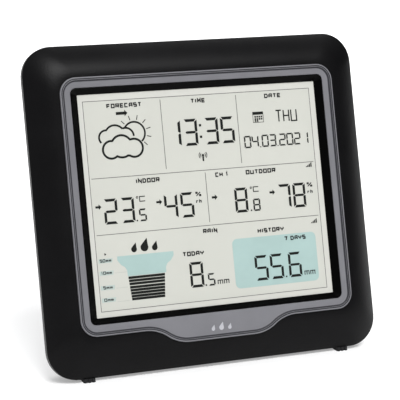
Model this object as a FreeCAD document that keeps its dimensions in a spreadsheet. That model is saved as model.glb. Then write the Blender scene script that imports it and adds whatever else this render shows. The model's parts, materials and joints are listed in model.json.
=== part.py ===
"""Home weather station: a desk display with a fold-out stand, built as separate pieces.

Case frame used below: X to the viewer's right, Z up the face, Y into the case, with the
origin at the centre of the face on the plane of its outer edge.  The whole station then
leans back and is lifted so that its feet and its stand rest on Z = 0.
"""
import FreeCAD, Part
import math
import os

import Sketcher

Vector = FreeCAD.Vector
Rotation = FreeCAD.Rotation
Placement = FreeCAD.Placement
RIGHT = Vector(1, 0, 0)
REARWARD = Vector(0, 1, 0)
UPWARD = Vector(0, 0, 1)

SIZES = [
    # alias, millimetres or degrees, meaning
    ("lean_angle", 14.63, "backward lean of the face when the stand is open"),
    ("case_width", 168, "outer width"),
    ("case_height", 155, "outer height"),
    ("case_radius", 14.4, "corner radius of the outline"),
    ("parting_depth", 3, "depth of the joint between front frame and rear cover"),
    ("back_depth", 17.5, "depth of the flat back"),
    ("wall", 2.2, "wall of the mouldings"),
    ("face_height", 8, "how far the frame stands forward of its outer edge"),
    ("trim_half_width", 69.2, "half width of the trim"),
    ("trim_top", 61.9, "top edge of the trim"),
    ("trim_bottom", -58.2, "bottom edge of the trim"),
    ("trim_radius", 8, "outer corner radius of the trim"),
    ("trim_seat", 6.4, "how far forward the trim's seat is"),
    ("trim_ridge", 8.7, "how far forward the trim's outer ridge is"),
    ("trim_ridge_width", 2, "width of the outer ridge"),
    ("tab_bottom", -65.5, "bottom edge of the tab under the display"),
    ("tab_flat_half", 16.5, "half length of the tab's straight edge"),
    ("tab_reach", 38.5, "half width of the tab where it leaves the trim"),
    ("well_half_width", 64.1, "half width of the trim's inner edge"),
    ("well_top", 56.9, "top of the trim's inner edge"),
    ("well_bottom", -52.9, "bottom of the trim's inner edge"),
    ("well_radius", 2.8, "corner radius of the trim's inner edge"),
    ("opening_margin", 1.5, "frame opening beyond the trim's inner edge"),
    ("display_width", 121.3, "visible width of the display"),
    ("display_height", 103.7, "visible height of the display"),
    ("display_centre", 1.9, "height of the display's centre"),
    ("display_plane", 5, "how far forward the display's surface is"),
    ("window_lip", 0.2, "thickness of the surround at the window edge"),
    ("layer_half_width", 62.9, "half width of the display's glasses"),
    ("layer_half_height", 53.6, "half height of the display's glasses"),
    ("contact_ledge", 3.2, "strip of the front glass left bare for its contacts"),
    ("carrier_gap", 0.2, "gap between the glasses and their carrier"),
    ("cell_diameter", 14, "AA cell body"),
    ("cell_length", 49, "AA cell body without its nub"),
    ("nub_length", 1.3, "nub on the end of a cell"),
    ("nub_radius", 2.75, "nub on the end of a cell"),
    ("cell_pitch", 15, "spacing of the three cells"),
    ("cell_centre", 15, "height of the middle cell"),
    ("cell_depth", 8.6, "depth of the cells' axes"),
    ("contact_place", 27.45, "inner faces of the contact plates"),
    ("contact_thickness", 0.5, "contact plates"),
    ("spring_radius", 4.2, "contact spring, to the middle of its wire"),
    ("spring_wire", 0.35, "radius of the contact spring's wire"),
    ("spring_pitch", 1.3, "rise of one turn of a contact spring"),
    ("bay_half_width", 28, "half width of the battery bay"),
    ("bay_floor", 1.3, "depth of the battery bay's floor"),
    ("bay_half_height", 22.8, "half height of the battery bay"),
    ("door_thickness", 1.6, "battery door"),
    ("door_margin", 3, "door beyond the battery bay on each side"),
    ("door_gap", 0.35, "gap round the battery door"),
    ("grip_bottom", 30, "height of the lowest finger groove in the door"),
    ("grip_pitch", 2, "spacing of the finger grooves"),
    ("grip_half_width", 9, "half length of a finger groove"),
    ("grip_depth", 0.5, "depth of a finger groove"),
    ("stand_length", 42, "hinge pin to the tip of the stand"),
    ("stand_width", 53, "width of the stand plate"),
    ("stand_thickness", 3, "stand plate"),
    ("stand_tip_radius", 2, "rubber strip on the stand's tip"),
    ("hinge_depth", 15, "depth of the hinge pin"),
    ("hinge_height", -64, "height of the hinge pin"),
    ("pin_radius", 0.9, "steel hinge pin"),
    ("knuckle_radius", 2.2, "stand knuckle round the pin"),
    ("running_gap", 0.05, "radial clearance of the knuckle on the pin"),
    ("recess_floor", 12.5, "depth of the stand recess floor"),
    ("recess_half_width", 27.5, "half width of the stand recess"),
    ("recess_bottom", -66.8, "bottom of the stand recess"),
    ("recess_top", -17.5, "top of the stand recess"),
    ("key_radius", 4.1, "round key cap"),
    ("key_gap", 0.35, "gap round a key cap"),
    ("key_flange", 5.2, "radius of the key's retaining flange"),
    ("key_proud", 0.8, "how far a key cap stands out of the back"),
    ("key_column", 50, "sideways place of the two key columns"),
    ("board_depth", 0.5, "depth of the main board's front face"),
    ("board_thickness", 1.6, "main board"),
    ("board_half_width", 71.5, "half width of the main board"),
    ("board_top", -13, "top of the main board"),
    ("board_bottom", -60, "bottom of the main board"),
    ("antenna_depth", 6.2, "depth of the ferrite rod's axis"),
    ("antenna_height", 64.5, "height of the ferrite rod's axis"),
    ("antenna_radius", 3.5, "ferrite rod"),
    ("antenna_length", 60, "ferrite rod"),
    ("coil_radius", 4.6, "winding on the ferrite rod"),
    ("coil_length", 20, "winding on the ferrite rod"),
    ("saddle_place", 24, "sideways place of the rod's saddles"),
    ("vent_left", 46, "inner end of the vent slots"),
    ("vent_right", 64, "outer end of the vent slots"),
    ("vent_bottom", 22, "height of the lowest vent slot"),
    ("vent_pitch", 4, "spacing of the vent slots"),
    ("vent_width", 1.6, "width of a vent slot"),
    ("buzzer_place", -54, "sideways place of the buzzer"),
    ("buzzer_height", 32, "height of the buzzer"),
    ("buzzer_radius", 9, "buzzer cup"),
    ("buzzer_depth", 2.6, "buzzer cup"),
    ("foot_place", 65, "sideways place of the feet"),
    ("foot_width", 5.7, "width of a foot"),
    ("foot_front", -0.6, "depth of the front of a foot"),
    ("foot_rear", 5, "depth of the rear of a foot"),
    ("foot_drop", 1.9, "how far a foot's front reaches below the case"),
    ("post_place", 72, "sideways place of the case screws"),
    ("post_height", 64.5, "height of the case screws above and below the centre"),
    ("post_radius", 3.1, "screw posts"),
    ("post_floor", 4, "rear cover's web under a case screw's head"),
    ("hook_height", 53, "height of the hanging hole's centre"),
    ("hook_radius", 4, "round part of the hanging hole"),
    ("hook_slot", 4, "width of the hanging slot"),
    ("hook_rise", 7, "length of the hanging slot"),
    ("centre_shift", -8.22, "moves the station so that its box is centred on the origin"),
]

doc = FreeCAD.newDocument("WeatherStation")
dims = doc.addObject("Spreadsheet::Sheet", "dims")
for row, (alias, size, meaning) in enumerate(SIZES, start=1):
    dims.set(f"A{row}", meaning)
    dims.set(f"B{row}", str(size))
    dims.setAlias(f"B{row}", alias)
doc.recompute()

parts = {}


def value(expression):
    """The number that an expression of sheet cells gives."""
    return float(dims.evalExpression(str(expression)))


def case_placement():
    """Where the leaning case stands: its feet's front edges touch Z = 0."""
    lean = math.radians(value("dims.lean_angle"))
    foot_low = value("-dims.case_height/2 - dims.foot_drop")
    lift = value("dims.foot_front") * math.sin(lean) - foot_low * math.cos(lean)
    base = Vector(0, value("dims.centre_shift"), lift)
    return Placement(base, Rotation(RIGHT, -value("dims.lean_angle")))


CASE = case_placement()


def finish(label, feature, placement=CASE):
    """Name a finished sub-part and put it in its place."""
    if any("Placement" in path for path, _ in feature.ExpressionEngine):
        feature.Label = f"{label}_drawn"
        feature = group(label, [feature])
    feature.Label = label
    feature.Placement = placement.multiply(feature.Placement)
    parts[label] = feature
    return feature


def bind(feature, **expressions):
    """Bind properties of a feature to expressions of sheet cells."""
    for name, expression in expressions.items():
        feature.setExpression(name, str(expression))
    return feature


def block(name, left, right, front, rear, bottom, top):
    """A box between six planes of the case frame."""
    box = doc.addObject("Part::Box", name)
    bind(box, Length=f"({right}) - ({left})", Width=f"({rear}) - ({front})", Height=f"({top}) - ({bottom})")
    box.setExpression("Placement.Base.x", str(left))
    box.setExpression("Placement.Base.y", str(front))
    box.setExpression("Placement.Base.z", str(bottom))
    return box


def rod(name, radius, length, start, direction=REARWARD):
    """A cylinder from a start point (three expressions) along a direction."""
    cylinder = doc.addObject("Part::Cylinder", name)
    bind(cylinder, Radius=radius, Height=length)
    cylinder.Placement = Placement(Vector(0, 0, 0), Rotation(UPWARD, direction))
    for axis, expression in zip("xyz", start):
        cylinder.setExpression(f"Placement.Base.{axis}", str(expression))
    return cylinder


def fuse(name, shapes):
    """One solid from several."""
    joined = doc.addObject("Part::MultiFuse", name)
    joined.Shapes = shapes
    joined.Refine = True
    return joined


def cut(name, base, *tools):
    """A base with one or more tools taken out of it."""
    result = doc.addObject("Part::Cut", name)
    result.Base = base
    result.Tool = tools[0] if len(tools) == 1 else group(name + "_tools", tools)
    return result


def group(name, shapes):
    """Several separate solids kept together."""
    together = doc.addObject("Part::Compound", name)
    together.Links = list(shapes)
    return together


def face_sketch(name, depth, body=None):
    """A sketch parallel to the face: its x is X and its y is Z."""
    if body is None:
        sketch = doc.addObject("Sketcher::SketchObject", name)
        sketch.Placement = Placement(Vector(0, 0, 0), Rotation(RIGHT, 90))
        sketch.setExpression("Placement.Base.y", str(depth))
        return sketch
    sketch = body.newObject("Sketcher::SketchObject", name)
    plane = next(item for item in body.Origin.OriginFeatures if item.Role == "XZ_Plane")
    sketch.AttachmentSupport = [(plane, "")]
    sketch.MapMode = "FlatFace"
    sketch.setExpression("AttachmentOffset.Base.z", f"-({depth})")
    return sketch


def constrain(sketch, geometry, joints, others, driven):
    """Add geometry with its tangent joints, its plain constraints and its sheet-driven sizes."""
    sketch.addGeometry(geometry, False)
    constraints = [Sketcher.Constraint("Tangent", *joint) for joint in joints]
    constraints += [Sketcher.Constraint(*entry) for entry in others]
    sketch.addConstraint(constraints)
    for entry, expression in driven:
        index = sketch.addConstraint(Sketcher.Constraint(*entry, value(expression)))
        sketch.setExpression(f"Constraints[{index}]", str(expression))


def corner(x, z, radius, start_degrees):
    """A quarter circle, counter-clockwise from a start angle."""
    circle = Part.Circle(Vector(x, z, 0), UPWARD, radius)
    start = math.radians(start_degrees)
    return Part.ArcOfCircle(circle, start, start + math.pi / 2)


def line(x0, z0, x1, z1):
    return Part.LineSegment(Vector(x0, z0, 0), Vector(x1, z1, 0))


def rounded_rectangle(sketch, left, right, bottom, top, radius):
    """Draw a rectangle with four equal corner arcs."""
    lo_x, hi_x, lo_z, hi_z, r = (value(item) for item in (left, right, bottom, top, radius))
    geometry = [
        line(lo_x + r, lo_z, hi_x - r, lo_z),
        corner(hi_x - r, lo_z + r, r, -90),
        line(hi_x, lo_z + r, hi_x, hi_z - r),
        corner(hi_x - r, hi_z - r, r, 0),
        line(hi_x - r, hi_z, lo_x + r, hi_z),
        corner(lo_x + r, hi_z - r, r, 90),
        line(lo_x, hi_z - r, lo_x, lo_z + r),
        corner(lo_x + r, lo_z + r, r, 180),
    ]
    joints = [(item, 2, (item + 1) % 8, 1) for item in range(8)]
    others = [("Horizontal", 0), ("Horizontal", 4), ("Vertical", 2), ("Vertical", 6)]
    others += [("Equal", 1, item) for item in (3, 5, 7)]
    driven = [
        (("Radius", 1), radius),
        (("DistanceY", -1, 1, 0, 1), bottom),
        (("DistanceY", -1, 1, 4, 1), top),
        (("DistanceX", -1, 1, 6, 1), left),
        (("DistanceX", -1, 1, 2, 1), right),
    ]
    constrain(sketch, geometry, joints, others, driven)
    return sketch


def rounded_slab(name, half_width, bottom, top, radius, front, rear):
    """A plate with rounded corners between two depths."""
    outline = face_sketch(name + "_outline", rear)
    rounded_rectangle(outline, f"-({half_width})", half_width, bottom, top, radius)
    return extrude(name, outline, f"({rear}) - ({front})")


def extrude(name, outline, length):
    """Extrude an outline forwards, towards the viewer."""
    slab = doc.addObject("Part::Extrusion", name)
    slab.Base = outline
    slab.DirMode = "Custom"
    slab.Dir = -REARWARD
    slab.Solid = True
    slab.setExpression("LengthFwd", str(length))
    return slab


def inset(name, outline, distance):
    """An outline moved inwards by a distance."""
    moved = doc.addObject("Part::Offset2D", name)
    moved.Source = outline
    moved.setExpression("Value", f"-({distance})")
    return moved


def moulding_loft(body, kind, name, sections):
    """Loft through rounded outlines of the case: (depth, side, top, bottom inset, radius)."""
    sketches = []
    for number, (depth, side, top, bottom, radius) in enumerate(sections):
        sketch = face_sketch(f"{name}_{number}", depth, body)
        half_width = f"dims.case_width/2 - ({side})"
        low = f"-dims.case_height/2 + ({bottom})"
        high = f"dims.case_height/2 - ({top})"
        rounded_rectangle(sketch, f"-({half_width})", half_width, low, high, radius)
        sketches.append(sketch)
    doc.recompute()
    loft = body.newObject(kind, name)
    loft.Profile = sketches[0]
    loft.Sections = sketches[1:]
    loft.Ruled = kind == "PartDesign::SubtractiveLoft"
    body.Tip = loft
    return loft


def frame_section(share):
    """Outline of the frame a share of the way in from its outer edge to the trim."""
    bulge = 1 - (1 - share) ** 1.8
    side = f"{share}*(dims.case_width/2 - dims.trim_half_width)"
    top = f"{share}*(dims.case_height/2 - dims.trim_top)"
    bottom = f"{share}*(dims.case_height/2 + dims.trim_bottom)"
    radius = f"dims.case_radius + {share}*(dims.trim_radius - dims.case_radius)"
    return f"-{bulge:.4f}*dims.face_height", side, top, bottom, radius


def trim_outline():
    """The trim's outer edge: a rounded rectangle with a tab that swells out of its bottom."""
    half, top, bottom = (value(f"dims.trim_{item}") for item in ("half_width", "top", "bottom"))
    r = value("dims.trim_radius")
    low, flat, reach = (value(f"dims.tab_{item}") for item in ("bottom", "flat_half", "reach"))
    run, drop = reach - flat, bottom - low
    sweep_radius = (run**2 + drop**2) / (4 * drop)
    sweep = math.asin(run / (2 * sweep_radius))

    def curve(x, z, start, end):
        return Part.ArcOfCircle(Part.Circle(Vector(x, z, 0), UPWARD, sweep_radius), start, end)

    geometry = [
        line(-flat, low, flat, low),
        curve(flat, low + sweep_radius, -math.pi / 2, -math.pi / 2 + sweep),
        curve(reach, bottom - sweep_radius, math.pi / 2, math.pi / 2 + sweep),
        line(reach, bottom, half - r, bottom),
        corner(half - r, bottom + r, r, -90),
        line(half, bottom + r, half, top - r),
        corner(half - r, top - r, r, 0),
        line(half - r, top, -half + r, top),
        corner(-half + r, top - r, r, 90),
        line(-half, top - r, -half, bottom + r),
        corner(-half + r, bottom + r, r, 180),
        line(-half + r, bottom, -reach, bottom),
        curve(-reach, bottom - sweep_radius, math.pi / 2 - sweep, math.pi / 2),
        curve(-flat, low + sweep_radius, -math.pi / 2 - sweep, -math.pi / 2),
    ]
    joints = [(0, 2, 1, 1), (1, 2, 2, 2), (2, 1, 3, 1)]
    joints += [(item, 2, item + 1, 1) for item in range(3, 11)]
    joints += [(11, 2, 12, 2), (12, 1, 13, 1), (13, 2, 0, 1)]
    others = [("Horizontal", item) for item in (0, 3, 7, 11)]
    others += [("Vertical", 5), ("Vertical", 9), ("Equal", 1, 2), ("Equal", 12, 13)]
    others += [("Equal", 4, item) for item in (6, 8, 10)]
    driven = [
        (("Radius", 4), "dims.trim_radius"),
        (("DistanceY", -1, 1, 0, 1), "dims.tab_bottom"),
        (("DistanceY", -1, 1, 3, 1), "dims.trim_bottom"),
        (("DistanceY", -1, 1, 11, 1), "dims.trim_bottom"),
        (("DistanceY", -1, 1, 7, 1), "dims.trim_top"),
        (("DistanceX", -1, 1, 5, 1), "dims.trim_half_width"),
        (("DistanceX", -1, 1, 9, 1), "-dims.trim_half_width"),
        (("DistanceX", -1, 1, 0, 1), "-dims.tab_flat_half"),
        (("DistanceX", -1, 1, 0, 2), "dims.tab_flat_half"),
        (("DistanceX", -1, 1, 3, 1), "dims.tab_reach"),
        (("DistanceX", -1, 1, 11, 2), "-dims.tab_reach"),
    ]
    outline = face_sketch("trim_outline", "-dims.trim_seat")
    constrain(outline, geometry, joints, others, driven)
    return outline


TRIM_OUTLINE = trim_outline()
POSTS = [(side, level) for side in (-1, 1) for level in (-1, 1)]
BOARD_SCREWS = [(side * 68.5, level) for side in (-1, 1) for level in (-18, -55)]
KEYS = {
    "key_mode": (-1, -22),
    "key_channel": (-1, -38),
    "key_history": (-1, -54),
    "key_up": (1, -22),
    "key_down": (1, -38),
    "key_light": (1, -54),
}
CELLS = {"battery_cell_top": 1, "battery_cell_middle": 0, "battery_cell_bottom": -1}


def opening(name, shrink, front, rear):
    """The frame's opening for the display, made smaller all round by a gap."""
    margin = f"dims.opening_margin - ({shrink})"
    return rounded_slab(
        name,
        f"dims.well_half_width + {margin}",
        f"dims.well_bottom - ({margin})",
        f"dims.well_top + {margin}",
        f"dims.well_radius + {margin}",
        front,
        rear,
    )


def front_frame():
    """Convex black moulding round the display, hollow behind."""
    body = doc.addObject("PartDesign::Body", "front_frame_body")
    sections = [("dims.parting_depth", 0, 0, 0, "dims.case_radius")]
    moulding_loft(body, "PartDesign::AdditiveLoft", "frame_band", sections + [frame_section(0)])
    sections = [frame_section(share) for share in (0, 0.06, 0.2, 0.45, 0.75, 1)]
    moulding_loft(body, "PartDesign::AdditiveLoft", "frame_bulge", sections)
    hollow = [
        ("dims.parting_depth", "dims.wall", "dims.wall", "dims.wall", "dims.case_radius - dims.wall"),
        ("0", "dims.wall + 0.6", "dims.wall + 0.6", "dims.wall + 0.6", "dims.case_radius - dims.wall"),
        ("-dims.display_plane", "12", "12.5", "15", "dims.trim_radius"),
    ]
    moulding_loft(body, "PartDesign::SubtractiveLoft", "frame_hollow", hollow)
    doc.recompute()
    posts = []
    for number, (side, level) in enumerate(POSTS):
        start = (f"{side}*dims.post_place", "-3", f"{level}*dims.post_height")
        posts.append(rod(f"front_post_{number}", "dims.post_radius", "dims.parting_depth + 3", start))
    for number, (place, level) in enumerate(BOARD_SCREWS):
        posts.append(rod(f"board_post_{number}", 2.4, "dims.board_depth + 5", (place, "-5", level)))
    seat = extrude("trim_seat_pocket", TRIM_OUTLINE, 4)
    window = opening("frame_window", 0, -9, 4)
    pilots = []
    for number, (side, level) in enumerate(POSTS):
        start = (f"{side}*dims.post_place", "-2.5", f"{level}*dims.post_height")
        pilots.append(rod(f"front_pilot_{number}", 1.1, 8, start))
    for number, (place, level) in enumerate(BOARD_SCREWS):
        pilots.append(rod(f"board_pilot_{number}", 0.9, 8, (place, "-4", level)))
    solid = fuse("front_frame_solid", [body] + posts)
    return finish("front_frame", cut("front_frame", solid, seat, window, *pilots))


def trim_ring():
    """Grey frame round the display with a raised outer ridge and the tab below."""
    outer = inset("trim_edge", TRIM_OUTLINE, 0.1)
    ring = extrude("trim_blank", outer, "dims.trim_ridge - dims.trim_seat")
    step_outline = inset("trim_step_outline", TRIM_OUTLINE, "dims.trim_ridge_width")
    step = extrude("trim_step", step_outline, 4)
    step.setExpression("Placement.Base.y", "dims.trim_seat - dims.face_height")
    hole = rounded_slab(
        "trim_hole",
        "dims.well_half_width",
        "dims.well_bottom",
        "dims.well_top",
        "dims.well_radius",
        -10,
        -5,
    )
    return finish("trim_ring", cut("trim_ring", ring, step, hole))


def display_surround():
    """Black sloped frame that leads from the trim down to the display."""
    flange = opening("surround_flange", 0.1, "-dims.trim_seat", "-dims.display_plane")
    lip = rounded_slab(
        "surround_lip",
        "dims.well_half_width - 0.1",
        "dims.well_bottom + 0.1",
        "dims.well_top - 0.1",
        "dims.well_radius - 0.1",
        "0.1 - dims.face_height",
        "-dims.display_plane",
    )
    slope = doc.addObject("Part::Loft", "surround_slope")
    near = face_sketch("surround_slope_near", "0.1 - dims.face_height")
    rounded_rectangle(
        near,
        "-dims.well_half_width + 0.5",
        "dims.well_half_width - 0.5",
        "dims.well_bottom + 0.5",
        "dims.well_top - 0.5",
        "dims.well_radius - 0.5",
    )
    far = face_sketch("surround_slope_far", "-dims.display_plane - dims.window_lip")
    window = ("-dims.display_width/2", "dims.display_width/2",
              "dims.display_centre - dims.display_height/2",
              "dims.display_centre + dims.display_height/2")
    rounded_rectangle(far, *window, 0.3)
    slope.Sections = [near, far]
    slope.Solid = True
    slope.Ruled = True
    hole_outline = face_sketch("surround_hole_outline", "1 - dims.display_plane")
    rounded_rectangle(hole_outline, *window, 0.3)
    hole = extrude("surround_hole", hole_outline, 2)
    solid = fuse("surround_solid", [flange, lip])
    return finish("display_surround", cut("display_surround", solid, slope, hole))


def display_layer(label, start, thickness, trim_sides=0, ledge=0):
    """One flat layer of the display stack, its start measured back from the display's surface."""
    half = f"dims.layer_half_width - {trim_sides}"
    front = f"{start} - dims.display_plane"
    low = f"dims.display_centre - dims.layer_half_height + {ledge}"
    high = "dims.display_centre + dims.layer_half_height"
    return finish(label, block(label, f"-({half})", half, front, f"{front} + {thickness}", low, high))


def display_stack():
    """Polariser, two glasses with a contact ledge, reflector and light guide."""
    film, glass, guide, lamp_room = 0.2, 1.0, 2.0, 2.4
    ledge = "dims.contact_ledge"
    display_layer("display_polariser", 0, film)
    display_layer("display_front_glass", film, glass)
    display_layer("display_rear_glass", film + glass, glass, 0, ledge)
    display_layer("display_reflector", film + 2 * glass, film, 0, ledge)
    display_layer("light_guide", 2 * film + 2 * glass, guide, lamp_room, ledge)
    lamps = []
    for side in (-1, 1):
        middle = f"{side}*(dims.layer_half_width - {lamp_room}/2 - 0.1)"
        lamps.append(block(f"lamp_{side}", f"{middle} - 1", f"{middle} + 1", -2.5, -0.7, 1, 5))
    finish("backlight_leds", group("backlight_leds", lamps))
    glass_bottom = "dims.display_centre - dims.layer_half_height"
    strip = block(
        "zebra_strip",
        -58,
        58,
        f"{film + glass} - dims.display_plane",
        "dims.board_depth",
        f"{glass_bottom} + 0.8",
        f"{glass_bottom} + 2.5",
    )
    finish("zebra_strip", strip)


def display_frame():
    """White carrier that holds the display stack in the front frame's opening."""
    outer = opening("carrier_outer", 0.3, "-dims.display_plane", "dims.board_depth")
    half_width = "dims.layer_half_width + dims.carrier_gap"
    half_height = "dims.layer_half_height + dims.carrier_gap"
    inner = block(
        "carrier_inner",
        f"-({half_width})",
        half_width,
        "-dims.display_plane - 1",
        "dims.board_depth + 1",
        f"dims.display_centre - ({half_height})",
        f"dims.display_centre + ({half_height})",
    )
    return finish("display_frame", cut("display_frame", outer, inner))


def main_board():
    """Circuit board behind the lower half of the display."""
    rear = "dims.board_depth + dims.board_thickness"
    board = block(
        "board_blank",
        "-dims.board_half_width",
        "dims.board_half_width",
        "dims.board_depth",
        rear,
        "dims.board_bottom",
        "dims.board_top",
    )
    holes = []
    for number, (place, level) in enumerate(BOARD_SCREWS):
        holes.append(rod(f"board_hole_{number}", 1.1, 6, (place, -1, level)))
    finish("main_board", cut("main_board", board, *holes))
    screws = []
    for number, (place, level) in enumerate(BOARD_SCREWS):
        head = rod(f"board_screw_head_{number}", 2, 1.2, (place, rear, level))
        shank = rod(f"board_screw_shank_{number}", 0.88, 5.5, (place, f"{rear} - 5.4", level))
        screws.append(fuse(f"board_screw_{number}", [head, shank]))
    finish("board_screws", group("board_screws", screws))


def board_components():
    """What sits on the main board's rear face."""
    rear = "dims.board_depth + dims.board_thickness"
    switches = []
    for name, (side, level) in KEYS.items():
        base = block(
            f"{name}_switch_base",
            f"{side}*dims.key_column - 3",
            f"{side}*dims.key_column + 3",
            rear,
            f"{rear} + 2.2",
            level - 3,
            level + 3,
        )
        collar = rod(f"{name}_switch_collar", 1.7, 3, (f"{side}*dims.key_column", rear, level))
        switches.append(fuse(f"{name}_switch", [base, collar]))
    finish("key_switches", group("key_switches", switches))

    blob = doc.addObject("Part::Sphere", "controller_blob")
    bind(blob, Radius=14)
    blob.setExpression("Placement.Base.x", "-12")
    blob.setExpression("Placement.Base.y", f"{rear} - 12")
    blob.setExpression("Placement.Base.z", "-36")
    clip = block("controller_clip", -30, 10, rear, f"{rear} + 3", -50, -22)
    chip = doc.addObject("Part::Common", "controller_chip")
    chip.Base = blob
    chip.Tool = clip
    finish("controller_chip", chip)

    crystal = rod("clock_crystal", 1.5, 8, (-34, f"{rear} + 1.5", -30), UPWARD)
    finish("clock_crystal", crystal)

    radio_board = block("radio_board", 8, 30, f"{rear} + 1.5", f"{rear} + 2.5", -44, -28)
    radio_chip = block("radio_chip", 14, 21, f"{rear} + 2.5", f"{rear} + 4", -40, -33)
    radio_pins = [
        rod(f"radio_pin_{number}", 0.5, 1.5, (10 + 2.54 * number, rear, -42.5)) for number in range(7)
    ]
    finish("radio_module", fuse("radio_module", [radio_board, radio_chip] + radio_pins))

    foot = rod("radio_antenna_foot", 0.6, 4, (37, rear, -18))
    mast = rod("radio_antenna_mast", 0.6, 60, (37, f"{rear} + 4", -18), UPWARD)
    knee = doc.addObject("Part::Sphere", "radio_antenna_knee")
    bind(knee, Radius=0.6)
    for axis, place in zip("xyz", ("37", f"{rear} + 4", "-18")):
        knee.setExpression(f"Placement.Base.{axis}", place)
    finish("radio_antenna", fuse("radio_antenna", [foot, mast, knee]))


def clock_antenna():
    """Ferrite rod with its winding, for the radio time signal, in two saddles."""

    def centred(name, radius, length, middle="0"):
        start = (f"{middle} - ({length})/2", "dims.antenna_depth", "dims.antenna_height")
        return rod(name, radius, length, start, RIGHT)

    finish("time_antenna_rod", centred("time_antenna_rod", "dims.antenna_radius", "dims.antenna_length"))
    outer = centred("coil_outer", "dims.coil_radius", "dims.coil_length")
    inner = centred("coil_inner", "dims.antenna_radius", "dims.coil_length + 2")
    finish("time_antenna_coil", cut("time_antenna_coil", outer, inner))
    saddles = []
    for side in (-1, 1):
        middle = f"{side}*dims.saddle_place"
        base = block(
            f"saddle_block_{side}",
            f"{middle} - 2",
            f"{middle} + 2",
            "dims.antenna_depth - 1.2",
            "dims.back_depth - dims.wall",
            "dims.antenna_height - 4",
            "dims.antenna_height + 4",
        )
        bore = centred(f"saddle_bore_{side}", "dims.antenna_radius", 8, middle)
        saddles.append(cut(f"saddle_{side}", base, bore))
    finish("antenna_saddles", group("antenna_saddles", saddles))


def rear_blanks():
    """Solid stock added inside the rear cover for the bay, the recess and the screw posts."""
    inside = "dims.back_depth - dims.wall/2"
    reach = "dims.bay_half_width + dims.door_margin + 2"
    bay = block(
        "bay_blank",
        f"-({reach})",
        reach,
        "dims.bay_floor - 1",
        inside,
        "dims.cell_centre - dims.bay_half_height - dims.door_margin - 1.6",
        "dims.cell_centre + dims.bay_half_height + dims.door_margin + 1.6",
    )
    side = "dims.recess_half_width + 2.5"
    recess = block(
        "recess_blank",
        f"-({side})",
        side,
        "dims.recess_floor - 1.6",
        inside,
        "dims.recess_bottom - 1.6",
        "dims.recess_top + 2",
    )
    posts = []
    for number, (x_side, level) in enumerate(POSTS):
        start = (f"{x_side}*dims.post_place", "dims.parting_depth", f"{level}*dims.post_height")
        length = "dims.back_depth - dims.parting_depth - 3"
        posts.append(rod(f"rear_post_{number}", "dims.post_radius", length, start))
    return [bay, recess] + posts


def rear_openings():
    """Everything that is cut out of the rear cover."""
    past = "dims.back_depth + 2"
    half = "dims.bay_half_width"
    low = "dims.cell_centre - dims.bay_half_height"
    high = "dims.cell_centre + dims.bay_half_height"
    tools = [block("bay_hollow", f"-{half}", half, "dims.bay_floor", past, low, high)]
    seat = f"{half} + dims.door_margin"
    tools.append(
        block(
            "door_seat",
            f"-({seat})",
            seat,
            "dims.back_depth - dims.door_thickness - 0.3",
            past,
            f"{low} - dims.door_margin",
            f"{high} + dims.door_margin",
        )
    )
    side = "dims.recess_half_width"
    recess = (f"-{side}", side, "dims.recess_floor", past, "dims.recess_bottom", "dims.recess_top")
    tools.append(block("recess_hollow", *recess))
    pin_start = ("-dims.recess_half_width - 2", "dims.hinge_depth", "dims.hinge_height")
    tools.append(rod("hinge_pin_hole", "dims.pin_radius", "2*dims.recess_half_width + 4", pin_start, RIGHT))
    for name, (x_side, level) in KEYS.items():
        start = (f"{x_side}*dims.key_column", 12, level)
        tools.append(rod(f"{name}_hole", "dims.key_radius + dims.key_gap", 10, start))
    for number, (x_side, level) in enumerate(POSTS):
        across, up = f"{x_side}*dims.post_place", f"{level}*dims.post_height"
        tools.append(rod(f"screw_hole_{number}", 1.6, 20, (across, "dims.parting_depth - 1", up)))
        web_top = "dims.parting_depth + dims.post_floor"
        tools.append(rod(f"screw_well_{number}", 2.7, 20, (across, web_top, up)))
    skin = "dims.back_depth - dims.wall - 2.5"
    for number in range(6):
        level = f"dims.vent_bottom + {number}*dims.vent_pitch"
        slot = ("dims.vent_left", "dims.vent_right", skin, past, level, f"{level} + dims.vent_width")
        tools.append(block(f"vent_slot_{number}", *slot))
    for number in range(8):
        angle = 45 * number
        across = f"dims.buzzer_place + 5*cos({angle} deg)"
        up = f"dims.buzzer_height + 5*sin({angle} deg)"
        tools.append(rod(f"sound_hole_{number}", 0.8, 8, (across, skin, up)))
    slot_half, slot_top = "dims.hook_slot/2", "dims.hook_height + dims.hook_rise"
    tools.append(rod("hook_entry", "dims.hook_radius", 8, (0, skin, "dims.hook_height")))
    slot = (f"-{slot_half}", slot_half, skin, past, "dims.hook_height", slot_top)
    tools.append(block("hook_slot", *slot))
    tools.append(rod("hook_slot_end", slot_half, 8, (0, skin, slot_top)))
    return tools


def rear_cover():
    """Back moulding with the battery bay, stand recess, screw posts and hanging hole."""
    body = doc.addObject("PartDesign::Body", "rear_cover_body")
    outside = [("dims.parting_depth", 0), ("6.5", 0.9), ("13", 3.2), ("dims.back_depth", 6.5)]
    sections = []
    for depth, step in outside:
        sections.append((depth, step, step, step, f"dims.case_radius - {0.4 * step}"))
    moulding_loft(body, "PartDesign::AdditiveLoft", "cover_outside", sections)
    inside = [("dims.parting_depth", 0), ("6", 0.9), ("11.5", 3.2), ("dims.back_depth - dims.wall", 6.5)]
    hollow = []
    for depth, step in inside:
        gap = f"{step} + dims.wall"
        hollow.append((depth, gap, gap, gap, f"dims.case_radius - {0.4 * step} - dims.wall"))
    moulding_loft(body, "PartDesign::SubtractiveLoft", "cover_inside", hollow)
    doc.recompute()
    solid = fuse("rear_cover_solid", [body] + rear_blanks())
    return finish("rear_cover", cut("rear_cover", solid, *rear_openings()))


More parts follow.
